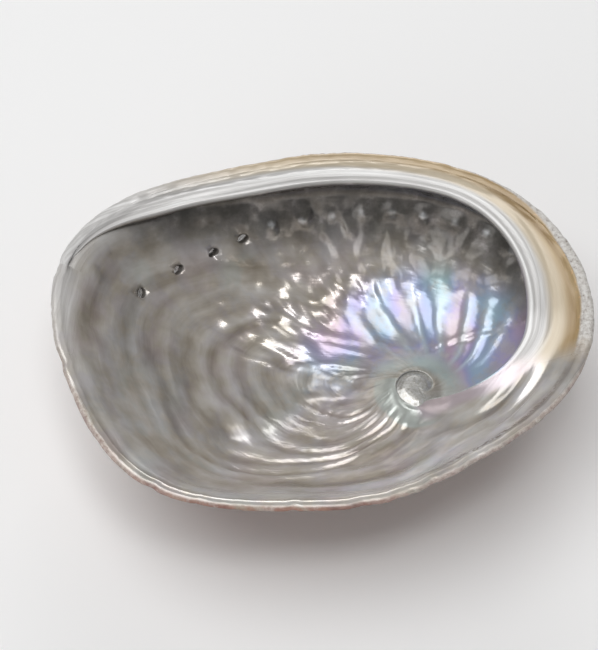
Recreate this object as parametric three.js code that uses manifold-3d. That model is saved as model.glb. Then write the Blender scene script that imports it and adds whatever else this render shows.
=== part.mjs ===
// Abalone shell, lying on its back with the open side up. Millimetres, +Z up, +X towards the spire.
// The inside is one sheet wound round the spire: the outer edge of each turn is the shelf edge of
// the turn before it, so floor, overhanging shelf and coil are a single surface closed at the rim.
import * as THREE from 'three';
import Module from 'manifold-3d';

const DEG = Math.PI / 180;
const TURN = 2 * Math.PI;

// driving sizes
const RIM_HEIGHT = 38.6;
const RIM_MEAN_RADIUS = 59.18;
const RIM_COS = [-0.92, 8.28, 0.51, 0.2, 0.67, -0.12];
const RIM_SIN = [2.02, 2.06, 1.61, -0.6, 0.74, -0.6];
const RIM_WAVE = 0.4;
const LIP_THICK = 2.4;
const LIP_ROUND = 0.8;
const FLOOR_THICK = 4.6;
const FOOT_WEAR = 1.0;
const SPIRE_X = 25.36;
const SPIRE_Y = -4.26;
const COIL_RADIUS = 6.2;
const COIL_FROM = 210 * DEG;
const COIL_TO = 560 * DEG;
const SPIRE_MOUND = 4.5;
const SUTURE_DEPTH = 2.2;
const SUTURE_REACH = 26;
const SHELF_START = 165 * DEG;
const SHELF_DROP = 1.2;
const SHELF_EDGE_THICK = 2.4;
const COIL_EDGE_THICK = 1.2;
const COIL_HEIGHT = 14;
const COIL_DROP = 1.8;
const COIL_UNDERCUT = 1.4;
const WALL_INSET = 5.2;
const WALL_HEIGHT = 28.5;
const FOLD_HEIGHT = 0.7;
const FOLD_SPACING = 0.34;
const PORES = 13;
const OPEN_PORES = 4;
const PORE_LENGTH = 3.2;
const PORE_WIDTH = 2.2;

// how finely the sheet is cut
const COLUMNS = 102;
const THIN_FROM = 60;
const FLOOR_ROWS = 8;
const UNDER_ROWS = 4;
const EDGE_ROWS = 2;
const BACK_ROWS = 12;
const RIM_BAND = 0.12;

const clamp01 = (x) => Math.min(1, Math.max(0, x));
const mix = (a, b, t) => a + (b - a) * t;
const ease = (a, b, x) => {
  const t = clamp01((x - a) / (b - a));
  return t * t * (3 - 2 * t);
};
const easeDeg = (a, b, x) => ease(a * DEG, b * DEG, x);

// rim outline about the middle of the bowl
function rimRadius(angle) {
  let r = RIM_MEAN_RADIUS;
  RIM_COS.forEach((c, i) => {
    r += c * Math.cos((i + 1) * angle) + RIM_SIN[i] * Math.sin((i + 1) * angle);
  });
  return r;
}

function rimHeight(angle) {
  return RIM_HEIGHT + RIM_WAVE * Math.sin(2 * angle + 0.6);
}

// back is the angle wound back from the tip of the shelf
function shelfWidth(back) {
  return easeDeg(0, 6, back) + 3.8 * easeDeg(4, 28, back) + 8.5 * easeDeg(113, 168, back);
}

function coilRadius(back) {
  const t = clamp01((back - COIL_FROM) / (COIL_TO - COIL_FROM));
  return COIL_RADIUS * (1 - 0.16 * t - 0.84 * t ** 8);
}

// 0 while the shelf keeps to the rim, 1 once it has swung in to the coil
const leavesRim = (back) => easeDeg(164, 202, back);

function spiralPoint(angle, back, inset, coilExtra) {
  const r = rimRadius(angle) - inset;
  const coilAngle = angle + 0.6 * Math.sin(angle) - 0.4;
  const c = coilRadius(back) + coilExtra;
  const b = leavesRim(back);
  return [
    mix(r * Math.cos(angle), SPIRE_X + c * Math.cos(coilAngle), b),
    mix(r * Math.sin(angle), SPIRE_Y + c * Math.sin(coilAngle), b),
  ];
}

const shelfEdge = (angle, back) => spiralPoint(angle, back, LIP_THICK + shelfWidth(back), 0);

function shelfEdgeHeight(angle, back) {
  const drop = SHELF_DROP * easeDeg(0, 30, back) + 0.6 * easeDeg(100, 160, back);
  const shelf = rimHeight(angle) - LIP_ROUND - drop;
  const coil = COIL_HEIGHT - COIL_DROP * ease(COIL_FROM, COIL_TO, back);
  return mix(shelf, coil, easeDeg(158, 212, back));
}

const fromSpire = (x, y) => Math.hypot(x - SPIRE_X, y - SPIRE_Y);

// groove that winds once round the spire on the back
function sutureDepth(x, y) {
  const turn = (((-0.35 - Math.atan2(y - SPIRE_Y, x - SPIRE_X)) / TURN) % 1 + 1) % 1;
  const off = fromSpire(x, y) - SUTURE_REACH * Math.exp(-turn);
  return SUTURE_DEPTH * Math.sqrt(Math.sin(Math.PI * turn)) * Math.exp(-((off / 3.6) ** 2));
}

// outside of the back, worn to a small flat where it rests
function backHeight(x, y) {
  const angle = Math.atan2(y, x);
  const q = Math.hypot(x, y) / rimRadius(angle);
  const back = (((SHELF_START - angle) % TURN) + TURN) % TURN;
  const power = 1.9 + 2.7 * easeDeg(0, 50, back) * (1 - easeDeg(165, 215, back));
  const away = fromSpire(x, y);
  const age = Math.log(0.05 + away / 60) - 0.4 * back * (1 - easeDeg(150, 215, back));
  const fold = FOLD_HEIGHT * Math.sin(TURN * age / FOLD_SPACING);
  const seam = easeDeg(150, 170, back) * (1 - easeDeg(200, 225, back));
  const fade = ease(0.4, 0.65, q) * (1 - ease(0.9, 1, q)) * (1 - seam);
  let z = (rimHeight(angle) - LIP_ROUND + FOOT_WEAR) * q ** power - FOOT_WEAR;
  z += fold * fade;
  return Math.max(0, z) + sutureDepth(x, y);
}

// point of the inside sheet; v runs from the shelf edge of this turn out to the next one
function insidePoint(back, v) {
  const angle = SHELF_START - back;
  const outer = Math.max(back - TURN, 0);
  const fold = easeDeg(0, 25, outer);
  const wallIn = mix(LIP_THICK, WALL_INSET, fold);
  const fade = 1 - easeDeg(430, 540, outer);
  const [ex, ey] = shelfEdge(angle, back);
  const ez = shelfEdgeHeight(angle, back);
  const [wx, wy] = spiralPoint(angle, outer, wallIn, COIL_UNDERCUT * fade);
  const [ox, oy] = shelfEdge(angle, outer);
  const oz = shelfEdgeHeight(angle, outer);
  const rows = FLOOR_ROWS + UNDER_ROWS + EDGE_ROWS;
  const k0 = FLOOR_ROWS / rows;
  const k1 = (FLOOR_ROWS + UNDER_ROWS) / rows;
  const along = clamp01(v / k0);
  const u = mix(along, ease(0, 1, along), 0.5);

  const power = 2.05 + 1.5 * easeDeg(340, 440, back);
  const rim = rimHeight(angle) - LIP_ROUND;
  const top = mix(rim, WALL_HEIGHT, easeDeg(0, 70, outer));
  const bowl = (x, y) => {
    const q = Math.hypot(x, y) / (rimRadius(Math.atan2(y, x)) - wallIn);
    const mound = SPIRE_MOUND * Math.exp(-((fromSpire(x, y) / 14) ** 2));
    return FLOOR_THICK + (top - FLOOR_THICK) * q ** power + mound;
  };
  let x = mix(ex, wx, u);
  let y = mix(ey, wy, u);
  const off = fromSpire(x, y) - fromSpire(ex, ey);
  const out = Math.max(0, mix(u * Math.hypot(wx - ex, wy - ey), off, leavesRim(back)));
  let floor = bowl(x, y) + (ez - bowl(ex, ey)) * Math.exp(-((out / 8) ** 2));
  const thick = fold * fade * mix(SHELF_EDGE_THICK, COIL_EDGE_THICK, leavesRim(outer));
  const low = oz - thick;
  floor -= Math.max(0, floor - low + 0.6 * thick) * ease(0.3, 0.9, u) * fold;
  const shelf = mix(ez, rim, u) - 0.5 * Math.sin(Math.PI * u) * easeDeg(20, 60, back);
  let z = mix(shelf, floor, easeDeg(158, 222, back));
  if (v <= k0) return [x, y, z];

  if (back <= TURN) {
    // over the rounded rim and a little way down the outside
    const w = 2 * (v - k0) / (1 - k0);
    const r = rimRadius(angle);
    if (w <= 1) {
      const reach = r - LIP_THICK / 2 * (1 + Math.cos(Math.PI * w));
      const crest = rim + LIP_ROUND * Math.sin(Math.PI * w);
      return [reach * Math.cos(angle), reach * Math.sin(angle), crest];
    }
    return backPoint(angle, 1 - RIM_BAND * (w - 1));
  }
  // underside of the shelf, then its rounded edge
  const t = clamp01((v - k0) / (k1 - k0));
  const g = clamp01((v - k1) / (1 - k1));
  z = (1 - t) ** 2 * z + 2 * t * (1 - t) * (low - 0.4 * thick) + t * t * low;
  z += thick * (1 - Math.cos(Math.PI * g)) / 2;
  const span = Math.hypot(ox - wx, oy - wy) + 1e-6;
  const roll = 0.55 * thick * Math.sin(Math.PI * g) / span;
  x = mix(x, ox, t * t) + (ox - wx) * roll;
  y = mix(y, oy, t * t) + (oy - wy) * roll;
  return [x, y, z];
}

// point of the back, from the apex (u = 0) out to the rim (u = 1)
function backPoint(angle, u) {
  const r = rimRadius(angle);
  const x = mix(SPIRE_X, r * Math.cos(angle), u);
  const y = mix(SPIRE_Y, r * Math.sin(angle), u);
  return [x, y, backHeight(x, y)];
}

// welded triangle mesh
const points = [];
const triangles = [];
const seen = new Map();
const apexes = [];

function weld(p) {
  const near = apexes.find((a) => Math.hypot(p[0] - a[0], p[1] - a[1]) < 0.7 && Math.abs(p[2] - a[2]) < 2.5);
  const q = near ?? p;
  const key = q.map((c) => Math.round(c * 1e4)).join(' ');
  if (!seen.has(key)) {
    seen.set(key, points.length / 3);
    points.push(...q);
  }
  return seen.get(key);
}

function triangle(a, b, c) {
  if (a !== b && b !== c && c !== a) triangles.push(a, b, c);
}

function patch(columns) {
  for (let i = 0; i + 1 < columns.length; i += 1) {
    for (let j = 0; j + 1 < columns[i].length; j += 1) {
      const [a, b, c, d] = [columns[i][j], columns[i + 1][j], columns[i + 1][j + 1], columns[i][j + 1]];
      triangle(a, b, c);
      triangle(a, c, d);
    }
  }
}

const backAt = (k) => k * TURN / COLUMNS;
const thinned = (k, from) => (k > from ? 3 * Math.round(k / 3) : k);
apexes.push(insidePoint(3 * TURN, 0));

const sheetRows = FLOOR_ROWS + UNDER_ROWS + EDGE_ROWS;
for (let turn = 0; turn < 3; turn += 1) {
  const columns = [];
  for (let k = turn * COLUMNS; k <= (turn + 1) * COLUMNS; k += 1) {
    const outerThin = turn > 0 && k - COLUMNS > THIN_FROM;
    if (outerThin && k % 3) continue;
    const column = [];
    for (let j = 0; j <= sheetRows; j += 1) {
      const back = backAt(j ? k : thinned(k, THIN_FROM));
      const firstTurnEnd = turn > 0 && k === COLUMNS ? 1e-9 : 0;
      column.push(weld(insidePoint(back + firstTurnEnd, j / sheetRows)));
    }
    columns.push(column);
  }
  patch(columns);
}

const backColumns = [];
for (let k = 0; k <= COLUMNS; k += 1) {
  const column = [];
  for (let j = 0; j <= BACK_ROWS; j += 1) {
    const near = j > BACK_ROWS - 4;
    const u = (1 - RIM_BAND) * (1 - j / BACK_ROWS) ** 0.85;
    column.push(weld(backPoint(SHELF_START - backAt(near ? thinned(k, -1) : k), u)));
  }
  backColumns.push(column);
}
patch(backColumns);

const wasm = await Module();
wasm.setup();

function solidOf(vertices, indices) {
  return new wasm.Manifold(new wasm.Mesh({
    numProp: 3,
    vertProperties: new Float32Array(vertices),
    triVerts: new Uint32Array(indices),
  }));
}

function solidOfGeometry(geometry) {
  const flat = geometry.toNonIndexed().getAttribute('position').array;
  const vertices = [];
  const indices = [];
  const known = new Map();
  for (let i = 0; i < flat.length; i += 3) {
    const p = [flat[i], flat[i + 1], flat[i + 2]];
    const key = p.map((c) => Math.round(c * 1e4)).join(' ');
    if (!known.has(key)) {
      known.set(key, vertices.length / 3);
      vertices.push(...p);
    }
    indices.push(known.get(key));
  }
  const kept = [];
  for (let i = 0; i < indices.length; i += 3) {
    const [a, b, c] = indices.slice(i, i + 3);
    if (a !== b && b !== c && c !== a) kept.push(a, b, c);
  }
  return solidOf(vertices, kept);
}

// row of breathing pores: the youngest are open, the older ones are healed to low knobs
function poreFrame(index) {
  const outer = (5.5 + 12.7 * index - 0.17 * index * index) * DEG;
  const k0 = FLOOR_ROWS / sheetRows;
  const v = k0 * (0.765 + 0.075 * easeDeg(18, 55, outer) + 0.04 * easeDeg(55, 130, outer));
  const at = (db, dv) => new THREE.Vector3(...insidePoint(TURN + outer + db, v + dv));
  const here = at(0, 0);
  const along = at(0.01, 0).sub(at(-0.01, 0)).normalize();
  const across = at(0, 0.01).sub(at(0, -0.01));
  const inward = new THREE.Vector3().crossVectors(across, along).normalize();
  if (inward.z < 0) inward.negate();
  let depth = 0;
  while (depth < 14) {
    const p = here.clone().addScaledVector(inward, -depth);
    if (p.z < backHeight(p.x, p.y)) break;
    depth += 0.1;
  }
  const side = new THREE.Vector3().crossVectors(inward, along).normalize();
  const basis = new THREE.Matrix4().makeBasis(along, side, inward);
  return { here, inward, depth, basis };
}

let shell = solidOf(points, triangles);
for (let i = 0; i < PORES; i += 1) {
  const { here, inward, depth, basis } = poreFrame(i);
  const open = i < OPEN_PORES;
  const middle = here.clone().addScaledVector(inward, -depth / 2 - (open ? 0.5 : 0));
  const knob = new THREE.SphereGeometry(1, 8, 6);
  knob.rotateX(Math.PI / 2);
  const wide = open ? 4.2 : 3.3 - 0.08 * i;
  const proud = open ? 0.35 : 0.85;
  knob.scale(wide, wide * 0.85, depth / 2 + proud);
  knob.applyMatrix4(basis.clone().setPosition(middle));
  shell = shell.add(solidOfGeometry(knob));
}
for (let i = 0; i < OPEN_PORES; i += 1) {
  const { here, inward, depth, basis } = poreFrame(i);
  const hole = new THREE.CylinderGeometry(0.5, 0.5, depth + 12, 10);
  hole.rotateX(Math.PI / 2);
  hole.scale(PORE_LENGTH, PORE_WIDTH, 1);
  hole.applyMatrix4(basis.clone().setPosition(here.clone().addScaledVector(inward, -depth / 2)));
  shell = shell.subtract(solidOfGeometry(hole));
}

const result = shell.getMesh();
const geometry = new THREE.BufferGeometry();
geometry.setAttribute('position', new THREE.BufferAttribute(result.vertProperties, 3));
geometry.setIndex(new THREE.BufferAttribute(result.triVerts, 1));
geometry.computeVertexNormals();

const nacre = new THREE.MeshStandardMaterial({ color: 0xb9b2b3, roughness: 0.3, metalness: 0.25 });
const mesh = new THREE.Mesh(geometry, nacre);
mesh.name = 'shell';

const group = new THREE.Group();
group.name = 'abalone_shell';
group.add(mesh);
export default group;
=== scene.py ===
import math

import bpy
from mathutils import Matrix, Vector


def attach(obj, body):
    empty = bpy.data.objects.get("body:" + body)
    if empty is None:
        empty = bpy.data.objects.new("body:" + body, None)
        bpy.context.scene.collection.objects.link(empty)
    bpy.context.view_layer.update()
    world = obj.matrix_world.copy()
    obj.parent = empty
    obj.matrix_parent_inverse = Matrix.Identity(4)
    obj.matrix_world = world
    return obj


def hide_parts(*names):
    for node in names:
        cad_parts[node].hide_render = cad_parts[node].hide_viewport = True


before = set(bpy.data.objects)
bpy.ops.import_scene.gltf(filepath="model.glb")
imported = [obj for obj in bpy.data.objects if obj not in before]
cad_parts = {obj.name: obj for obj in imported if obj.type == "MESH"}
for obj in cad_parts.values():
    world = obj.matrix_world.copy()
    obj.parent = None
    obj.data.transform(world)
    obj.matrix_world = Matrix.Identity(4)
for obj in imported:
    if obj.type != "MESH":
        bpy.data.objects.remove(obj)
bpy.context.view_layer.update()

TURN = 360
CYCLE = 2 * math.pi
DEG = CYCLE / TURN
MM = 0.001
WELD = 0.0000001

# shape of the shell, in millimetres and degrees; the same rule as the solid
RIM_MEAN = 59.18
RIM_COS = (-0.92, 8.28, 0.51, 0.2, 0.67, -0.12)
RIM_SIN = (2.02, 2.06, 1.61, -0.6, 0.74, -0.6)
SPIRE = (25.36, -4.26)
SHELF_START = 165
COIL_FROM = 210
COIL_TO = 560
COIL_TAPER = 0.16
COIL_SWAY = 0.6
COIL_START = -0.4
SHELF_WIDTHS = ((0, 6, 1.0), (4, 28, 3.8), (113, 168, 8.5))
CAP_LEVEL = 12.9
CAP_SLOPE = 0.14
SUTURE_REACH = 26
SUTURE_WIDTH = 3.6

# windings, in degrees back from the tip of the shelf, between which one form turns into the next
EDGE_LEAVES_RIM = (164, 202)
EDGE_FALLS = (158, 212)
SHELF_TO_FLOOR = (158, 222)
SHELF_TO_LIP = (166, 182)
PAD_NARROWS = (215, 265)
CAP_STARTS = (470, 520)

# row of pores: the first few are open, the others healed to knobs
PORES = 13
OPEN_PORES = 4
PORE_FROM = 365.5
PORE_SPACING = 12.7
PORE_CROWDING = 0.17
PORE_LEAN = 0.77
PORE_RISE = 0.64
KNOB_RAISE = 2.4
KNOB_WIDTH = 1.5
ROD_FROM = -0.014
ROD_LENGTH = 0.02
DRILL_LENGTH = 0.03
DRILL_SIDES = 24
BORE_LABELS = {"edge_mm": -18.0, "rim_mm": 20.0, "winding": 480.0, "share": 0.0}

# relief, in millimetres and in growth age
PAD_RADIUS = 11.5
PAD_FLARE = 2.4
FOLDS_PER_MM = 0.125
BACK_FOLD_AGE = 0.34
FINE_LINE_AGE = 0.062
CORD_SPACING = 0.0663
UNDER_MM = 12
BACK_MM = 60
RIDGE_BEND = 0.48
RIDGE_LAG = 14.4
RIDGES_END = 500
RIDGE_CROWDING = 40
RIDGE_COUNT = 5
RIDGE_OFFSET = -0.43
CREASE_AT = (43, 12.2)
CREASE_BEND = 0.018

# how finely the sheet is cut
COLUMNS = 324
COIL_COLUMNS = 504
FLOOR_ROWS = 44
UNDER_ROWS = 14
EDGE_ROWS = 8
ARC_ROWS = 10
BACK_ROWS = 76

SIZES = {
    "Rim height": 38.6,
    "Lip thickness": 2.4,
    "Lip rounding": 0.8,
    "Floor thickness": 4.6,
    "Foot wear": 1.0,
    "Spire mound": 4.5,
    "Coil radius": 6.2,
    "Coil height": 14.0,
    "Coil edge thickness": 0.5,
    "Coil undercut": 1.4,
    "Shelf drop": 1.2,
    "Shelf edge thickness": 2.4,
    "Wall inset": 5.2,
    "Wall height": 28.5,
    "Suture depth": 2.2,
    "Fold height": 0.7,
    "Pore length": 3.2,
    "Pore width": 2.2,
    "Knob height": 1.1,
    "Cap height": 0.9,
    "Ridge height": 0.35,
    "Ripple height": 0.42,
    "Crust height": 0.45,
    "Chip depth": 0.9,
    "Rim fillet": 0.45,
}

# colour ramps: place on the ramp, then red, green and blue
SILVER = ((0.32, (0.33, 0.285, 0.225)), (0.45, (0.46, 0.415, 0.35)),
          (0.55, (0.57, 0.53, 0.475)), (0.68, (0.70, 0.675, 0.645)))
PASTEL = ((0.30, (0.34, 0.52, 0.56)), (0.42, (0.34, 0.43, 0.62)), (0.52, (0.37, 0.36, 0.60)),
          (0.62, (0.50, 0.40, 0.58)), (0.74, (0.55, 0.40, 0.50)))
CAP_GRAINS = ((0.36, (0.38, 0.365, 0.34)), (0.5, (0.50, 0.50, 0.48)), (0.64, (0.60, 0.61, 0.60)))
# painted shade under the shelf, near black to dark grey
UNDER_SHELF_PAINTED_SHADE = ((0.38, (0.055, 0.052, 0.047)), (0.58, (0.125, 0.115, 0.105)), (0.72, (0.26, 0.24, 0.235)))
SHELF_WHITE = ((0.35, (0.44, 0.43, 0.42)), (0.52, (0.62, 0.61, 0.60)), (0.66, (0.76, 0.76, 0.75)))
TAN = ((0.32, (0.25, 0.155, 0.06)), (0.5, (0.33, 0.22, 0.095)), (0.68, (0.43, 0.31, 0.16)))
CRUST = ((0.30, (0.22, 0.18, 0.15)), (0.40, (0.47, 0.44, 0.41)),
         (0.55, (0.62, 0.60, 0.57)), (0.75, (0.74, 0.73, 0.71)))
LIP_CRUST = ((0.36, (0.26, 0.18, 0.13)), (0.5, (0.44, 0.37, 0.30)), (0.62, (0.62, 0.58, 0.53)))
BRICK = ((0.3, (0.13, 0.035, 0.022)), (0.44, (0.24, 0.075, 0.045)), (0.53, (0.36, 0.16, 0.10)),
         (0.62, (0.30, 0.30, 0.22)), (0.72, (0.55, 0.47, 0.40)))
CHALK = ((0.35, (0.36, 0.29, 0.27)), (0.55, (0.56, 0.50, 0.46)), (0.7, (0.70, 0.66, 0.62)))

# single colours
# painted highlight in a band inside the lip
LIP_PAINTED_HIGHLIGHT = (0.72, 0.705, 0.68)
# painted highlight on the ridge crests
RIDGE_PAINTED_HIGHLIGHT = (0.56, 0.68, 0.76)
SPIRE_GREY = (0.50, 0.58, 0.57)
PAD_GREY = (0.50, 0.555, 0.53)
BLUSH = (0.62, 0.53, 0.60)
# painted highlight on the healed knobs
KNOB_PAINTED_HIGHLIGHT = (0.70, 0.72, 0.74)
CREAM = (0.60, 0.50, 0.35)
TAN_SPECK = (0.62, 0.36, 0.15)
CHIP_BROWN = (0.17, 0.12, 0.08)
FLOOR_GREY = (0.92, 0.92, 0.92)
WHITE = (1.0, 1.0, 1.0, 1.0)

# finish of each kind of surface
PEARL_ROUGH, SHELF_ROUGH, CRUST_ROUGH, BACK_ROUGH, FLOOR_ROUGH = 0.24, 0.32, 0.5, 0.7, 0.8
PEARL_METAL, BOWL_METAL, SHELF_METAL = 0.45, 0.3, 0.1
PEARL_COAT, SHELF_COAT, COAT_ROUGH = 0.5, 0.25, 0.12
PEARL_IOR = 1.6
BUMP_STRENGTH = 0.35
BUMP_DEPTH = 0.0004

# stage, in metres: each light's place, disk size and power
FLOOR_HALF = 3
WORLD_STRENGTH = 0.25
LIGHT_TARGET = (0, 0, 0.02)
LIGHTS = {
    "overhead": ((-0.35, 0.1, 1.1), 1.0, 7.0),
    "key": ((0.1, -0.15, 1.0), 0.25, 1.3),
    "back_card": ((0.1, 1.1, 0.45), 0.55, 3.0),
    "front_fill": ((-0.5, -0.7, 0.5), 0.6, 0.9),
}
CAMERA_AT = (-0.00564, -0.21407, 0.40872)
CAMERA_TO = (-0.00564, 0.00988, 0.02083)
CAMERA_LENS = 95.26
CAMERA_SENSOR = 36
CAMERA_CLIP = 0.01


class Value:
    """A node socket that can stand in a sum."""

    def __init__(self, net, socket):
        self.net = net
        self.socket = socket

    def out(self, name):
        return Value(self.net, self.socket.node.outputs[name])

    def math(self, operation, *others):
        return self.net.math(operation, self, *others)

    def __add__(self, other):
        return self.math("ADD", other)

    def __radd__(self, other):
        return self.net.math("ADD", other, self)

    def __sub__(self, other):
        return self.math("SUBTRACT", other)

    def __rsub__(self, other):
        return self.net.math("SUBTRACT", other, self)

    def __mul__(self, other):
        return self.math("MULTIPLY", other)

    def __rmul__(self, other):
        return self.net.math("MULTIPLY", other, self)

    def __truediv__(self, other):
        return self.math("DIVIDE", other)

    def __rtruediv__(self, other):
        return self.net.math("DIVIDE", other, self)

    def __pow__(self, other):
        return self.math("POWER", other)

    def __neg__(self):
        return self.math("MULTIPLY", -1.0)


class Net:
    """Adds nodes to one tree."""

    def __init__(self, tree):
        self.tree = tree

    def node(self, kind, settings=None, sockets=None):
        made = self.tree.nodes.new(kind)
        for name, value in (settings or {}).items():
            if name == "stops":
                ramp = made.color_ramp.elements
                while len(ramp) < len(value):
                    ramp.new(0.5)
                for element, (place, colour) in zip(ramp, value):
                    element.position = place
                    element.color = (*colour, 1.0)
            else:
                setattr(made, name, value)
        for key, value in (sockets or {}).items():
            for one in value if isinstance(value, list) else [value]:
                if isinstance(one, Value):
                    self.tree.links.new(one.socket, made.inputs[key])
                else:
                    made.inputs[key].default_value = one
        return Value(self, made.outputs[0]) if made.outputs else made

    def math(self, operation, *terms):
        return self.node("ShaderNodeMath", {"operation": operation}, dict(enumerate(terms)))

    def vector(self, x, y, z):
        return self.node("ShaderNodeCombineXYZ", None, {0: x, 1: y, 2: z})

    def noise(self, place, scale, detail=2.0, roughness=0.5):
        settings = {"noise_dimensions": "3D"}
        sockets = {"Vector": place, "Scale": scale, "Detail": detail, "Roughness": roughness}
        return self.node("ShaderNodeTexNoise", settings, sockets)


def sin(x):
    return x.math("SINE")


def cos(x):
    return x.math("COSINE")


def exp(x):
    return x.math("EXPONENT")


def bell(x, width):
    return exp(-((x / width) * (x / width)))


def root(x):
    return x.math("SQRT")


def length(x, y):
    return root(x * x + y * y)


def higher(x, other):
    return x.math("MAXIMUM", other)


def lower(x, other):
    return x.math("MINIMUM", other)


def ease(low, high, x):
    settings = {"interpolation_type": "SMOOTHSTEP"}
    return x.net.node("ShaderNodeMapRange", settings, {"Value": x, "From Min": low, "From Max": high})


def blend(a, b, t):
    return t.net.node("ShaderNodeMix", {"data_type": "FLOAT"}, {0: t, 2: a, 3: b})


def between(low, high, soft, x):
    return ease(low - soft, low + soft, x) * (1 - ease(high - soft, high + soft, x))


class Sizes:
    """Named inputs of one tree, added as its rules ask for them."""

    def __init__(self, net):
        self.net = net
        self.entry = net.tree.nodes.new("NodeGroupInput")
        self.names = []

    def __getitem__(self, name):
        if name not in self.names:
            self.names.append(name)
            self.add(name, "NodeSocketFloat").default_value = SIZES.get(name, 0.0)
        return Value(self.net, self.entry.outputs[name])

    def add(self, name, kind):
        return self.net.tree.interface.new_socket(name=name, in_out="INPUT", socket_type=kind)


def grouped(rule):
    """Makes a rule on values a node group of its own, built the first time it is called."""
    kept = {}

    def call(size, *values):
        if not kept:
            tree = bpy.data.node_groups.new(rule.__name__, "GeometryNodeTree")
            inner = Sizes(Net(tree))
            ports = [f"in_{k}" for k in range(len(values))]
            results = rule(inner, *[inner[port] for port in ports])
            results = results if isinstance(results, tuple) else (results,)
            for k in range(len(results)):
                tree.interface.new_socket(name=f"out_{k}", in_out="OUTPUT", socket_type="NodeSocketFloat")
            inner.net.node("NodeGroupOutput", None, dict(enumerate(results)))
            kept.update(tree=tree, sizes=[name for name in inner.names if name not in ports])
        sockets = {f"in_{k}": value for k, value in enumerate(values)}
        sockets.update({name: size[name] for name in kept["sizes"]})
        made = size.net.node("GeometryNodeGroup", {"node_tree": kept["tree"]}, sockets)
        outs = [Value(size.net, socket) for socket in made.socket.node.outputs]
        return outs[0] if len(outs) == 1 else tuple(outs)

    return call


@grouped
def rim_radius(size, angle):
    radius = None
    for order, (c, s) in enumerate(zip(RIM_COS, RIM_SIN), 1):
        wave = cos(angle * order - math.atan2(s, c)) * math.hypot(c, s)
        radius = wave + RIM_MEAN if radius is None else radius + wave
    return radius


@grouped
def rim_height(size, angle):
    return size["Rim height"] + sin(angle * 2 + 0.6) * 0.4


def leaves_rim(back):
    return ease(*EDGE_LEAVES_RIM, back)


def from_spire(x, y):
    return length(x - SPIRE[0], y - SPIRE[1])


def pad_reach(back):
    """Radius of the pale pad round the foot of the coil."""
    return (1 - ease(*PAD_NARROWS, back)) * PAD_FLARE + PAD_RADIUS


def growth(x, y):
    """Polar angle, winding angle and growth age of a point of the back."""
    polar = y.math("ARCTAN2", x)
    back = (SHELF_START - polar / DEG).math("FLOORED_MODULO", TURN)
    young = (from_spire(x, y) / BACK_MM + 0.05).math("LOGARITHM", math.e)
    return polar, back, young - back * (1 - ease(150, 215, back)) * (0.4 * DEG)


@grouped
def spiral(size, angle, back, inset, extra):
    """A line that follows the rim, then leaves it and winds into the spire."""
    t = lower(higher((back - COIL_FROM) / (COIL_TO - COIL_FROM), 0.0), 1.0)
    coil = size["Coil radius"] * (1 - t * COIL_TAPER - t ** 8 * (1 - COIL_TAPER)) + extra
    reach = rim_radius(size, angle) - inset
    turn = angle + sin(angle) * COIL_SWAY + COIL_START
    share = leaves_rim(back)
    x = blend(reach * cos(angle), cos(turn) * coil + SPIRE[0], share)
    y = blend(reach * sin(angle), sin(turn) * coil + SPIRE[1], share)
    return x, y


@grouped
def shelf_edge(size, angle, back):
    width = sum(ease(start, end, back) * step for start, end, step in SHELF_WIDTHS)
    x, y = spiral(size, angle, back, width + size["Lip thickness"], 0.0)
    drop = ease(0, 30, back) * size["Shelf drop"] + ease(100, 160, back) * 0.6
    shelf = rim_height(size, angle) - size["Lip rounding"] - drop
    coil = size["Coil height"] - ease(COIL_FROM, COIL_TO, back) * 1.8
    return x, y, blend(shelf, coil, ease(*EDGE_FALLS, back))


@grouped
def turn_lines(size, back):
    """Lines that bound one turn: its own shelf edge, its wall and the next edge out."""
    angle = (SHELF_START - back) * DEG
    outer = higher(back - TURN, 0.0)
    fold = ease(0, 25, outer)
    fade = lower((COIL_TO - outer) / 130, 1.0)
    wall_in = blend(size["Lip thickness"], size["Wall inset"], fold)
    edge = shelf_edge(size, angle, back)
    wall = spiral(size, angle, outer, wall_in, size["Coil undercut"] * fade)
    beyond = shelf_edge(size, angle, outer)
    thin = blend(size["Shelf edge thickness"], size["Coil edge thickness"], leaves_rim(outer))
    return (angle, outer, fold, wall_in, *edge, *wall, *beyond, fold * fade * thin)


@grouped
def bowl(size, x, y, top, power, wall_in):
    q = length(x, y) / (rim_radius(size, y.math("ARCTAN2", x)) - wall_in)
    mound = size["Spire mound"] * bell(from_spire(x, y), 14.0)
    return (top - size["Floor thickness"]) * q ** power + size["Floor thickness"] + mound


@grouped
def turn_floor(size, back, u):
    """Floor and wall of a turn, or the top of the shelf where the first turn is shelf."""
    lines = turn_lines(size, back)
    angle, outer, fold, wall_in, edge_x, edge_y, edge_z, wall_x, wall_y, _, _, beyond_z, thick = lines
    rim = rim_height(size, angle) - size["Lip rounding"]
    top = blend(rim, size["Wall height"], ease(0, 70, outer))
    power = ease(340, 440, back) * 1.5 + 2.05
    x = blend(edge_x, wall_x, u)
    y = blend(edge_y, wall_y, u)
    span = length(wall_x - edge_x, wall_y - edge_y)
    off = from_spire(x, y) - from_spire(edge_x, edge_y)
    away = higher(blend(u * span, off, leaves_rim(back)), 0.0)
    step = edge_z - bowl(size, edge_x, edge_y, top, power, wall_in)
    z = bowl(size, x, y, top, power, wall_in) + step * bell(away, 8.0)
    z = blend(z, rim, u ** 16 * (1 - fold))
    z = z - higher(z - (beyond_z - thick * 1.6), 0.0) * ease(0.3, 0.9, u) * fold
    dip = sin(u * math.pi) * ease(20, 60, back) * 0.5
    z = blend(blend(edge_z, rim, u) - dip, z, ease(*SHELF_TO_FLOOR, back))
    return x, y, z, span


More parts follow.
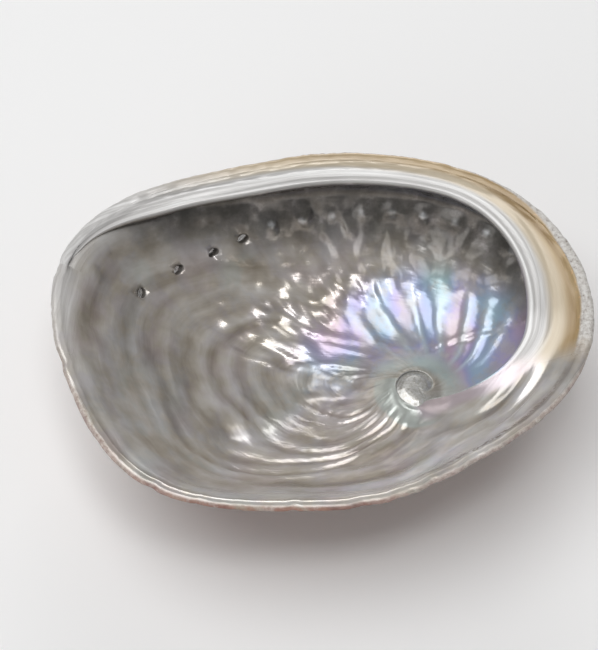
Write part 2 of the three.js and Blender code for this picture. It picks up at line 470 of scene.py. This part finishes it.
@grouped
def capped(size, x, y, z, back):
    """Heights near the spire, raised to a low dome where the coil runs out."""
    out = from_spire(x, y)
    toward = (SPIRE[0] - x) * 0.8 + (SPIRE[1] - y) * 0.6
    dome = size["Cap height"] * (1 - out * out / 30) + toward * CAP_SLOPE + CAP_LEVEL
    return blend(z, dome, ease(*CAP_STARTS, back) * (1 - ease(5.6, 7.4, out)))


@grouped
def inner_floor(size, back, u):
    """Floor of the inner turns with the dome in the middle, kept below the edge above it."""
    x, y, z, span = turn_floor(size, back, u)
    beyond_x, beyond_y, beyond_z, thick = turn_lines(size, back)[-4:]
    roof = capped(size, beyond_x, beyond_y, beyond_z, back - TURN) - thick * 1.25
    z = capped(size, x, y, z, back)
    z = z - higher(z - roof, 0.0) * ease(0.5, 0.85, u) * ease(540, 570, back)
    return x, y, z, span


@grouped
def turn_underside(size, back, t, g):
    """Underside of the shelf (t 0 to 1), then its rounded edge (g 0 to 1)."""
    wall_x, wall_y, wall_z, _ = inner_floor(size, back, 1.0)
    beyond_x, beyond_y, beyond_z, thick = turn_lines(size, back)[-4:]
    beyond_z = capped(size, beyond_x, beyond_y, beyond_z, back - TURN)
    low = beyond_z - thick
    stay = 1 - t
    z = stay * stay * wall_z + t * stay * 2 * (low - thick * 0.4) + t * t * low
    z = z + thick * (1 - cos(g * math.pi)) / 2
    dx = beyond_x - wall_x
    dy = beyond_y - wall_y
    reach = length(dx, dy) + 0.000001
    roll = thick * sin(g * math.pi) * 0.55 / reach
    x = blend(wall_x, beyond_x, t * t) + dx * roll
    y = blend(wall_y, beyond_y, t * t) + dy * roll
    return x, y, z


@grouped
def suture(size, x, y):
    """Groove that winds out from the apex on the back."""
    polar = (y - SPIRE[1]).math("ARCTAN2", x - SPIRE[0])
    turn = ((-0.35 - polar) / CYCLE).math("FLOORED_MODULO", 1.0)
    off = from_spire(x, y) - exp(-turn) * SUTURE_REACH
    return size["Suture depth"] * root(higher(sin(turn * math.pi), 0.0)) * bell(off, SUTURE_WIDTH)


@grouped
def back_labels(size, x, y):
    """Polar angle, share of the rim radius, winding angle and growth age of a point of the back."""
    polar, back, age = growth(x, y)
    return polar, length(x, y) / rim_radius(size, polar), back, age


@grouped
def back_height(size, x, y):
    polar, q, back, age = back_labels(size, x, y)
    power = ease(0, 50, back) * (1 - ease(165, 215, back)) * 2.7 + 1.9
    fold = size["Fold height"] * sin(age * (CYCLE / BACK_FOLD_AGE))
    seam = ease(150, 170, back) * (1 - ease(200, 225, back))
    fade = ease(0.4, 0.65, q) * (1 - ease(0.9, 1.0, q)) * (1 - seam)
    wear = size["Foot wear"]
    z = (rim_height(size, polar) - size["Lip rounding"] + wear) * q ** power - wear + fold * fade
    return higher(z, 0.0) + suture(size, x, y)


@grouped
def outer_skin(size, back, arc, u):
    """Over the rounded rim (arc 0 to 1), then down the back to the apex (u 1 to 0)."""
    angle = (SHELF_START - back) * DEG
    radius = rim_radius(size, angle)
    rim = rim_height(size, angle) - size["Lip rounding"]
    inset = size["Lip thickness"] / 2 * (1 + cos(arc * math.pi))
    back_x = blend(SPIRE[0], radius * cos(angle), u)
    back_y = blend(SPIRE[1], radius * sin(angle), u)
    over = arc.math("LESS_THAN", 0.9999)
    x = blend(back_x, (radius - inset) * cos(angle), over)
    y = blend(back_y, (radius - inset) * sin(angle), over)
    z = blend(back_height(size, back_x, back_y), rim + size["Lip rounding"] * sin(arc * math.pi), over)
    return x, y, z


def shell_tree():
    """Geometry Nodes tree that grows the whole shell."""
    tree = bpy.data.node_groups.new("shell_growth", "GeometryNodeTree")
    net = Net(tree)
    size = Sizes(net)
    size.add("Material", "NodeSocketMaterial")
    tree.interface.new_socket(name="Geometry", in_out="OUTPUT", socket_type="NodeSocketGeometry")

    def grid(columns, rows):
        mesh = net.node("GeometryNodeMeshGrid", None, {
            "Size X": 1.0, "Size Y": 1.0, "Vertices X": columns + 1, "Vertices Y": rows + 1})
        x, y, _ = split(net.node("GeometryNodeInputPosition"))
        return mesh, x + 0.5, y + 0.5

    def split(vector):
        parts = net.node("ShaderNodeSeparateXYZ", None, {0: vector})
        return parts.out("X"), parts.out("Y"), parts.out("Z")

    def keep(mesh, domain, **values):
        for name, value in values.items():
            mesh = net.node("GeometryNodeStoreNamedAttribute", {"data_type": "FLOAT", "domain": domain},
                            {"Geometry": mesh, "Name": name, "Value": value})
        return mesh

    def place(mesh, x, y, z):
        return net.node("GeometryNodeSetPosition", None, {
            "Geometry": mesh, "Position": net.vector(x * MM, y * MM, z * MM)})

    # pore row: points on the wall, with a rod along each pore
    line = net.node("GeometryNodeMeshLine", {"mode": "OFFSET"}, {"Count": PORES})
    index = net.node("GeometryNodeInputIndex")
    pore_back = index * PORE_SPACING - index * index * PORE_CROWDING + PORE_FROM
    pore_outer = pore_back - TURN
    across = ease(18, 55, pore_outer) * 0.075 + ease(55, 130, pore_outer) * 0.04 + 0.765
    pore_u = across * 0.5 + across * across * (3 - across * 2) * 0.5
    pore_x, pore_y, pore_z, _ = turn_floor(size, pore_back, pore_u)
    pores = place(line, pore_x, pore_y, pore_z)
    spot_x, spot_y, _ = split(net.node("GeometryNodeInputPosition"))
    reach = length(spot_x, spot_y) / PORE_LEAN
    axis = net.vector(-(spot_x / reach), -(spot_y / reach), PORE_RISE)
    tangent = net.vector(spot_y, -spot_x, 0.0)
    turned = net.node("FunctionNodeAlignRotationToVector", {"axis": "Z"}, {"Vector": axis})
    turned = net.node("FunctionNodeAlignRotationToVector", {"axis": "X", "pivot_axis": "Z"},
                      {"Rotation": turned, "Vector": tangent})
    is_open = index.math("LESS_THAN", OPEN_PORES - 0.5)

    def along_pores(shape, chosen, scale):
        copies = net.node("GeometryNodeInstanceOnPoints", None, {
            "Points": pores, "Selection": chosen, "Instance": shape, "Rotation": turned, "Scale": scale})
        return net.node("GeometryNodeRealizeInstances", None, {"Geometry": copies})

    rod = net.node("GeometryNodeMeshLine", {"mode": "OFFSET"}, {
        "Count": 2, "Start Location": (0, 0, ROD_FROM), "Offset": (0, 0, ROD_LENGTH)})
    open_rods = along_pores(rod, is_open, (1.0, 1.0, 1.0))
    healed_rods = along_pores(rod, 1 - is_open, (1.0, 1.0, 1.0))
    drill = net.node("GeometryNodeMeshCylinder", {"fill_type": "NGON"}, {
        "Vertices": DRILL_SIDES, "Radius": MM / 2, "Depth": DRILL_LENGTH})
    drill = keep(drill, "CORNER", **BORE_LABELS)
    drills = along_pores(drill, is_open, net.vector(size["Pore length"], size["Pore width"], 1.0))

    def distance_to(rods, x, y, z):
        near = net.node("GeometryNodeProximity", {"target_element": "EDGES"}, {
            0: rods, "Sample Position": net.vector(x * MM, y * MM, z * MM)})
        return near.out("Distance") / MM

    def folds(rim_mm, back):
        """Broad soft folds along the growth lines, from -1 to 1."""
        bend = net.noise(net.vector(rim_mm * 0.05, back * 0.02, 5.0), 1.0, 2.0) - 0.5
        strong = ease(0.3, 0.65, net.noise(net.vector(rim_mm * 0.07, back * 0.025, 2.0), 1.0, 1.0))
        wave = sin((rim_mm * FOLDS_PER_MM + bend * 3.2) * CYCLE)
        small = net.noise(net.vector(rim_mm * 0.5 + bend * 4, back * 0.03, 7.0), 1.0, 1.0) - 0.5
        return wave * (strong * 0.6 + 0.4) + small * 0.6

    # floor of the first turn: top of the shelf, then the inside of the outer lip
    mesh, column, row = grid(COLUMNS, FLOOR_ROWS)
    back = column * TURN
    x, y, z, span = turn_floor(size, back, row)
    edge_mm = row * span
    rim_mm = (1 - row) * span
    shelf = 1 - ease(*SHELF_TO_LIP, back)
    broad = folds(rim_mm, back)
    lip_lift = broad * size["Ripple height"] * ease(1.0, 12.0, edge_mm) * ease(0.5, 5.0, rim_mm)
    crumb = net.noise(net.vector(x, y, z), 0.35, 3.0, 0.6) - 0.5
    shelf_lift = (between(1.2, 4.6, 0.7, edge_mm) * 0.22
                  + crumb * size["Crust height"] * 1.8 * (1 - ease(0.6, 3.2, rim_mm)))
    pad = 1 - ease(-0.9, 0.9, from_spire(x, y) - pad_reach(back))
    pad = pad * ease(196, 214, back) * ease(0.3, 1.5, edge_mm) * 0.5
    fillet = size["Rim fillet"] * (1 - ease(0.0, 2.4, rim_mm))
    lift = blend(lip_lift, shelf_lift, shelf) + pad + fillet
    mesh = keep(mesh, "POINT", lift=lift * ease(0.0, 1.0, edge_mm))
    share = edge_mm / (span + size["Lip thickness"])
    # fold is kept to paint shade in fold valleys and highlight on fold crests
    mesh = keep(mesh, "CORNER", edge_mm=edge_mm, rim_mm=rim_mm, winding=back, share=share, fold=broad)
    first_turn = place(mesh, x, y, z)

    # floor of the inner turns: bowl under the shelf and cap of the spire
    mesh, column, row = grid(COIL_COLUMNS, FLOOR_ROWS)
    back = column * COIL_TO + TURN
    x, y, z, span = inner_floor(size, back, row)
    out = from_spire(x, y)
    phase = back + out * RIDGE_BEND - RIDGE_LAG
    count = (higher(RIDGES_END - phase, -30.0) / RIDGE_CROWDING + 1).math("LOGARITHM", math.e)
    count = count * RIDGE_COUNT + RIDGE_OFFSET
    wander = net.noise(net.vector(x, y, z), 0.09, 2.0) - 0.5
    ridge = cos((count + wander * 0.9) * CYCLE) * 0.5 + 0.5
    ridge = ridge * ridge * ease(10, 15, out) * (1 - ease(28, 36, out))
    ridge = ridge * ease(405, 440, back) * (1 - ease(503, 512, back))
    lumps = net.noise(net.vector(x, y, z * 0.6), 0.22, 2.0, 0.5) - 0.5
    lumps = lumps * (ease(26, 36, out) * 2.2 + 0.25)
    rim_mm = (1 - row) * span
    broad = folds(rim_mm, back) * (1 - ease(368, 430, back))
    along = x - CREASE_AT[0]
    off_crease = y - (CREASE_AT[1] - along * along * CREASE_BEND)
    crease = bell(off_crease - 0.7, 0.7) * 0.3 - bell(off_crease + 0.4, 0.5) * 0.45
    crease = crease * between(24, 52, 3.0, x)
    knob = bell(distance_to(healed_rods, x, y, z - KNOB_RAISE), KNOB_WIDTH)
    hole = distance_to(open_rods, x, y, z)
    mouths = bell(hole, 4.6) * 0.5 - bell(hole, 2.3) * 1.1
    lift = ridge * size["Ridge height"] * 1.4 + lumps * size["Ripple height"] * 3.0 + crease
    lift = lift + broad * size["Ripple height"] * ease(0.5, 5.0, rim_mm)
    lift = (lift * ease(9, 14, out) + knob * size["Knob height"] + mouths) * (1 - ease(0.93, 1.0, row))
    mesh = keep(mesh, "POINT", lift=lift)
    # ridge, knob and fold are kept to paint highlight on ridges, knobs and fold crests and shade in fold
    # valleys
    mesh = keep(mesh, "CORNER", edge_mm=-UNDER_MM - rim_mm, rim_mm=rim_mm, winding=back, share=0.0,
                ridge=ridge, fold=broad, knob=knob)
    inner_turns = place(mesh, x, y, z)

    # underside of the shelf and its rounded edge
    rows = UNDER_ROWS + EDGE_ROWS
    mesh, column, row = grid(COIL_COLUMNS, rows)
    back = column * COIL_TO + TURN
    under = lower(row * (rows / UNDER_ROWS), 1.0)
    round_edge = higher(row * rows - UNDER_ROWS, 0.0) / EDGE_ROWS
    x, y, z = turn_underside(size, back, under, round_edge)
    mesh = keep(mesh, "POINT", lift=0.0)
    mesh = keep(mesh, "CORNER", edge_mm=(row - 1) * UNDER_MM, rim_mm=0.0, winding=back, share=0.0)
    overhang = place(mesh, x, y, z)

    # rim and back
    rows = ARC_ROWS + BACK_ROWS
    mesh, column, row = grid(COLUMNS, rows)
    back = column * TURN
    arc = lower(row * (rows / ARC_ROWS), 1.0)
    u = lower((1 - row) * (rows / BACK_ROWS), 1.0)
    x, y, z = outer_skin(size, back, arc, u)
    _, _, label, age = back_labels(size, x, y)
    away = from_spire(x, y)
    down = (1 - u) * BACK_MM
    spot = net.vector(x, y, z)
    fine = sin((age + (net.noise(spot, 0.05, 2.0) - 0.5) * 0.06) * (CYCLE / FINE_LINE_AGE))
    cords = sin(((away + 1).math("LOGARITHM", math.e) + label * (0.38 * DEG)) * (CYCLE / CORD_SPACING))
    coat = net.noise(spot, 0.16, 4.0, 0.6) - 0.5
    grain = net.noise(spot, 0.6, 2.0, 0.6) - 0.5
    relief = fine * 0.16 + cords * 0.12 + (coat * 2.2 + grain * 0.7) * size["Crust height"]
    tubes = bell(distance_to(healed_rods, x, y, z), 2.7) + bell(distance_to(open_rods, x, y, z), 3.4) * 1.4
    lift = relief * ease(4.0, 12.0, away) * ease(0.6, 3.0, z) * ease(0.6, 2.5, down) + tubes
    edge_crumb = (net.noise(spot, 0.35, 3.0, 0.6) - 0.5) * size["Crust height"] * 1.8
    crumb_share = blend(1.0, ease(0.1, 0.6, arc) * 0.3, ease(*SHELF_TO_LIP, back))
    lift = lift + edge_crumb * (1 - ease(0.6, 2.5, down)) * crumb_share
    lift = lift + size["Rim fillet"] * (1 - ease(0.0, 0.35, arc))
    mesh = keep(mesh, "POINT", lift=lift)
    _, _, _, span = turn_floor(size, back, 1.0)
    over = arc * size["Lip thickness"] + down
    share = (span + over) / (span + size["Lip thickness"])
    mesh = keep(mesh, "CORNER", edge_mm=span + over, rim_mm=-over, winding=back, share=share)
    outside = place(mesh, x, y, z)

    whole = net.node("GeometryNodeJoinGeometry", None, {
        "Geometry": [first_turn, inner_turns, overhang, outside]})
    whole = net.node("GeometryNodeMergeByDistance", None, {"Geometry": whole, "Distance": WELD})
    normal = net.node("GeometryNodeInputNormal")
    lift = net.node("GeometryNodeInputNamedAttribute", {"data_type": "FLOAT"}, {"Name": "lift"})
    push = net.node("ShaderNodeVectorMath", {"operation": "SCALE"}, {0: normal, "Scale": lift * MM})
    whole = net.node("GeometryNodeSetPosition", None, {"Geometry": whole, "Offset": push})

    # chips along the growing edge
    spot_x, spot_y, spot_z = [part / MM for part in split(net.node("GeometryNodeInputPosition"))]
    polar, q, back, _ = back_labels(size, spot_x, spot_y)
    inset = rim_radius(size, polar) * (1 - q)
    ring = net.vector(cos(polar), sin(polar), 0.0)
    wear = higher(net.noise(ring, 9.0, 4.0, 0.65) - 0.5, 0.0) * 4.0 + net.noise(ring, 2.5, 2.0) - 0.5
    worn = wear * size["Chip depth"] * (ease(168, 200, back) * 0.8 + 0.2) * bell(higher(inset, 0.0), 4.0)
    worn = worn * ease(24, 34, spot_z) * MM
    pull = net.vector(-(cos(polar) * worn), -(sin(polar) * worn), worn * -0.35)
    whole = net.node("GeometryNodeSetPosition", None, {"Geometry": whole, "Offset": pull})

    bored = net.node("GeometryNodeMeshBoolean", {"operation": "DIFFERENCE", "solver": "MANIFOLD"}, {
        "Mesh 1": whole, "Mesh 2": drills})
    smooth = net.node("GeometryNodeSetShadeSmooth", None, {"Geometry": bored})
    plain = net.node("GeometryNodeRealizeInstances", None, {"Geometry": smooth})
    material = Value(net, size.entry.outputs["Material"])
    dressed = net.node("GeometryNodeSetMaterial", None, {"Geometry": plain, "Material": material})
    net.node("NodeGroupOutput", None, {0: dressed})
    return tree


def grown_mesh(tree, material):
    """Runs the tree on an empty mesh and returns the plain result."""
    seed = bpy.data.objects.new("growing", bpy.data.meshes.new("growing"))
    bpy.context.scene.collection.objects.link(seed)
    grow = seed.modifiers.new("grow", "NODES")
    grow.node_group = tree
    for item in tree.interface.items_tree:
        if item.in_out == "INPUT" and item.name in SIZES:
            grow[item.identifier] = SIZES[item.name]
        if item.in_out == "INPUT" and item.name == "Material":
            grow[item.identifier] = material
    graph = bpy.context.evaluated_depsgraph_get()
    mesh = bpy.data.meshes.new_from_object(seed.evaluated_get(graph), depsgraph=graph)
    seed.modifiers.remove(grow)
    bpy.data.objects.remove(seed)
    return mesh


def shell_material():
    """Mother of pearl inside, cream and tan shelf, crusted brick-brown back."""
    material = bpy.data.materials.new("mother_of_pearl_and_crust")
    material.use_nodes = True
    material.node_tree.nodes.clear()
    net = Net(material.node_tree)

    def attribute(name):
        return net.node("ShaderNodeAttribute", {"attribute_name": name}).out("Fac")

    def ramp(stops, place):
        return net.node("ShaderNodeValToRGB", {"stops": stops}, {0: place})

    def tint(factor, a, b):
        colours = {6: a, 7: b if isinstance(b, Value) else (*b, 1.0)}
        mixed = net.node("ShaderNodeMix", {"data_type": "RGBA"}, {0: factor, **colours})
        return Value(net, mixed.socket.node.outputs[2])

    spot = net.node("ShaderNodeTexCoord").out("Object")
    parts = net.node("ShaderNodeSeparateXYZ", None, {0: spot})
    x, y, z = parts.out("X") / MM, parts.out("Y") / MM, parts.out("Z") / MM
    mm = net.vector(x, y, z)
    edge_mm, rim_mm = attribute("edge_mm"), attribute("rim_mm")
    winding, share = attribute("winding"), attribute("share")
    out = from_spire(x, y)
    inner = winding.math("GREATER_THAN", TURN)
    tip = blend(ease(322, 356, winding), 1 - ease(TURN, 378, winding), inner)
    skin_from = blend(-1.5, -2.8, higher(1 - ease(168, 180, winding), tip))
    outside = 1 - ease(-0.35, 0.35, rim_mm - skin_from)

    # pearl: silver grey with soft streaks along the lip, pastel patches round the spire
    drift = net.noise(mm, 0.045, 3.0, 0.55) - 0.5
    lip_streak = net.noise(net.vector(rim_mm * 0.2 + drift * 3, winding * 0.014, 0.0), 1.0, 4.0, 0.5)
    fine_streak = net.noise(net.vector(rim_mm * 1.2 + drift * 6, winding * 0.05, 4.0), 1.0, 3.0, 0.6)
    fan_streak = net.noise(net.vector(winding * 0.13 + out * 0.07, out * 0.07, 9.0), 1.0, 4.0, 0.5)
    fan = ease(362, 425, winding + drift * 40)
    streak = blend(lip_streak, fan_streak, fan)
    blotch = net.noise(mm, 0.1, 3.0, 0.55)
    # the fold term paints shade in the fold valleys and highlight on the fold crests
    silver = ramp(SILVER, streak * 0.42 + blotch * 0.5 + fine_streak * 0.08 + attribute("fold") * 0.1)
    # painted highlight: a bright silver band a few millimetres inside the lip
    near_lip = between(182, 335, 20.0, winding) * between(1.5, 8.5, 2.0, rim_mm + drift * 5)
    silver = tint(near_lip * (ease(0.35, 0.6, blotch) * 0.5 + 0.4), silver, LIP_PAINTED_HIGHLIGHT)
    hue = net.noise(net.vector(x * 0.09 + drift, y * 0.05, z * 0.05), 1.0, 1.0, 0.4)
    pastel = ramp(PASTEL, hue)
    # painted highlight along the ridge crests, pale aqua white
    pastel = tint(attribute("ridge") * 0.75, pastel, RIDGE_PAINTED_HIGHLIGHT)
    pastel = tint(1 - ease(9, 17, out + drift * 8), pastel, SPIRE_GREY)
    patches = ease(0.40, 0.6, net.noise(mm, 0.12, 4.0, 0.65))
    bowl_zone = ease(300, 440, winding) * ease(4.5, 8, out) * (1 - ease(31, 39, out))
    iris = bowl_zone * (patches * 0.45 + 0.5) + patches * 0.16
    pearl = tint(iris, silver, pastel)

    # pale pad round the foot of the coil, pink tinge along the falling shelf, grainy cap
    pad = (1 - ease(-0.6, 0.4, out - pad_reach(winding))) * between(206, 352, 8.0, winding)
    pearl = tint(pad * 0.75, pearl, PAD_GREY)
    blush = between(172, 214, 8.0, winding) * (1 - ease(4.0, 8.5, edge_mm + drift * 6))
    pearl = tint(blush * 0.7, pearl, BLUSH)
    cap = ease(520, 560, winding)
    grains = net.noise(mm, 1.3, 3.0, 0.7)
    cap_colour = ramp(CAP_GRAINS, grains)
    pearl = tint(cap * 0.85, pearl, cap_colour)

    # painted shade under the shelf: mottled dark brown grey where the overhang shadows the wall
    under = ease(362, 392, winding) * (1 - ease(490, 540, winding))
    under = under * ease(-27, -15, edge_mm) * (1 - ease(-1.6, -0.3, edge_mm))
    mottle = net.noise(mm, 0.2, 4.0, 0.6)
    painted_shade = ramp(UNDER_SHELF_PAINTED_SHADE, mottle)
    pearl = tint(under * 0.92, pearl, painted_shade)
    # painted highlight on the healed knobs, in patches
    pearl = tint(ease(0.3, 1.0, attribute("knob")) * (patches * 0.4 + 0.3), pearl, KNOB_PAINTED_HIGHLIGHT)

    # shelf: white bevel, pearl band, cream to tan band, grey crust
    shelf_wind = winding - inner * TURN
    on_shelf = 1 - inner * (1 - ease(-2.4, -0.6, edge_mm))
    shelf = on_shelf * (1 - ease(168, 175, shelf_wind + drift * 8)) * ease(-3.2, -2.2, rim_mm)
    wave = drift * 0.14
    lines = net.noise(net.vector(edge_mm * 0.9, shelf_wind * 0.02, 6.0), 1.0, 3.0, 0.6)
    white = ramp(SHELF_WHITE, lines)
    full = ease(60, 140, shelf_wind)
    cream_from = blend(0.5, 0.25, full)
    tan_from = blend(0.7, 0.48, full)
    crust_from = blend(0.93, 0.80, ease(95, 155, shelf_wind))
    ochre = ease(18, 70, shelf_wind)
    cream = ease(-0.08, 0.12, share - cream_from + wave) * ochre
    tan = ease(-0.06, 0.16, share - tan_from + wave) * ochre
    grain = net.noise(mm, 1.1, 2.0, 0.6)
    tan_noise = net.noise(net.vector(rim_mm * 0.35, shelf_wind * 0.03, 3.0), 1.0, 3.0, 0.6)
    tan_colour = ramp(TAN, tan_noise)
    specks = ease(0.58, 0.66, grain) * ease(-0.1, 0.0, share - crust_from)
    tan_colour = tint(specks * 0.7, tan_colour, TAN_SPECK)
    shelf_colour = tint(cream * 0.85, white, CREAM)
    shelf_colour = tint(tan * blend(0.6, 0.95, full), shelf_colour, tan_colour)
    pearl = tint(shelf, pearl, shelf_colour)
    tip_white = tip * (1 - ease(0.5, 5.0, rim_mm + drift * 4))
    pearl = tint(tip_white * 0.8, pearl, white)
    pale = higher(shelf, tip_white)

    # crusted margin along the shelf side
    speckle = net.noise(mm, 0.9, 3.0, 0.7)
    crust = ramp(CRUST, speckle)
    margin = shelf * ease(-0.03, 0.03, share - crust_from + wave)
    inside_colour = tint(margin, pearl, crust)
    lip_edge = ease(178, 190, winding) * (1 - inner) * (1 - tip)
    lip_edge = lip_edge * (1 - ease(-2.0, -1.1, rim_mm + drift * 3))
    lip_colour = ramp(LIP_CRUST, speckle)
    inside_colour = tint(lip_edge * 0.9, inside_colour, lip_colour)
    chip_line = between(180, 226, 8.0, winding) * between(0.6, 1.7, 0.5, rim_mm + drift * 3)
    inside_colour = tint(chip_line * ease(0.42, 0.55, speckle) * 0.8, inside_colour, CHIP_BROWN)

    # back: growth bands of brick red, green grey and off white under crust
    _, _, age = growth(x, y)
    rings = net.noise(net.vector(age * 9 + drift, drift * 2, 1.0), 1.0, 3.0, 0.55)
    brick = ramp(BRICK, rings)
    coat = ease(0.5, 0.62, net.noise(mm, 0.14, 5.0, 0.65))
    chalk = ramp(CHALK, speckle)
    worn_rim = (1 - ease(2.0, 7.0, -rim_mm)) * (1 - between(235, 300, 20.0, winding) * 0.7)
    back_colour = tint(higher(coat * 0.75, worn_rim * 0.85), brick, chalk)
    colour = tint(outside, inside_colour, back_colour)

    matte = higher(margin, lip_edge)
    covered = higher(outside, matte)
    pale_rough = blend(SHELF_ROUGH, CRUST_ROUGH, matte)
    rough = blend(blend(PEARL_ROUGH, pale_rough, higher(pale, lip_edge)), BACK_ROUGH, outside)
    metal = blend(blend(PEARL_METAL, BOWL_METAL, bowl_zone), SHELF_METAL, pale)
    metal = blend(metal, 0.0, covered)
    coat_weight = blend(blend(PEARL_COAT, SHELF_COAT, pale), 0.0, covered)
    height = blend(fine_streak * 0.4 + streak * 0.6, speckle * 1.6, covered)
    bump = net.node("ShaderNodeBump", None, {
        "Strength": BUMP_STRENGTH, "Distance": BUMP_DEPTH, "Height": height})
    surface = net.node("ShaderNodeBsdfPrincipled", None, {
        "Base Color": colour, "Roughness": rough, "Metallic": metal, "Coat Weight": coat_weight,
        "Coat Roughness": COAT_ROUGH, "IOR": PEARL_IOR, "Normal": bump})
    net.node("ShaderNodeOutputMaterial", None, {"Surface": surface})
    return material


def plain_material(name, colour, roughness):
    material = bpy.data.materials.new(name)
    material.use_nodes = True
    surface = material.node_tree.nodes["Principled BSDF"]
    surface.inputs["Base Color"].default_value = (*colour, 1.0)
    surface.inputs["Roughness"].default_value = roughness
    return material


def aimed(item, target):
    item.rotation_euler = (Vector(target) - item.location).to_track_quat("-Z", "Y").to_euler()


def soft_light(name, place, size, power):
    lamp = bpy.data.lights.new(name, "AREA")
    lamp.shape = "DISK"
    lamp.size = size
    lamp.energy = power
    item = bpy.data.objects.new(name, lamp)
    item.location = place
    aimed(item, LIGHT_TARGET)
    bpy.context.scene.collection.objects.link(item)


scene = bpy.context.scene
mesh = grown_mesh(shell_tree(), shell_material())
mesh.name = "abalone_shell"
shell = bpy.data.objects.new("abalone_shell", mesh)
scene.collection.objects.link(shell)
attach(shell, "root")
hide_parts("shell")

ground = bpy.data.meshes.new("floor")
corners = [(x * FLOOR_HALF, y * FLOOR_HALF, 0) for x, y in ((-1, -1), (1, -1), (1, 1), (-1, 1))]
ground.from_pydata(corners, [], [(0, 1, 2, 3)])
ground.materials.append(plain_material("pale_floor", FLOOR_GREY, FLOOR_ROUGH))
floor = bpy.data.objects.new("floor", ground)
scene.collection.objects.link(floor)

world = bpy.data.worlds.new("studio")
scene.world = world
world.use_nodes = True
background = world.node_tree.nodes["Background"]
background.inputs["Color"].default_value = WHITE
background.inputs["Strength"].default_value = WORLD_STRENGTH
for name, (place, size, power) in LIGHTS.items():
    soft_light(name, place, size, power)

camera = bpy.data.cameras.new("camera")
camera.lens = CAMERA_LENS
camera.sensor_width = CAMERA_SENSOR
camera.clip_start = CAMERA_CLIP
eye = bpy.data.objects.new("camera", camera)
eye.location = CAMERA_AT
aimed(eye, CAMERA_TO)
scene.collection.objects.link(eye)
scene.camera = eye
scene.view_settings.view_transform = "Standard"
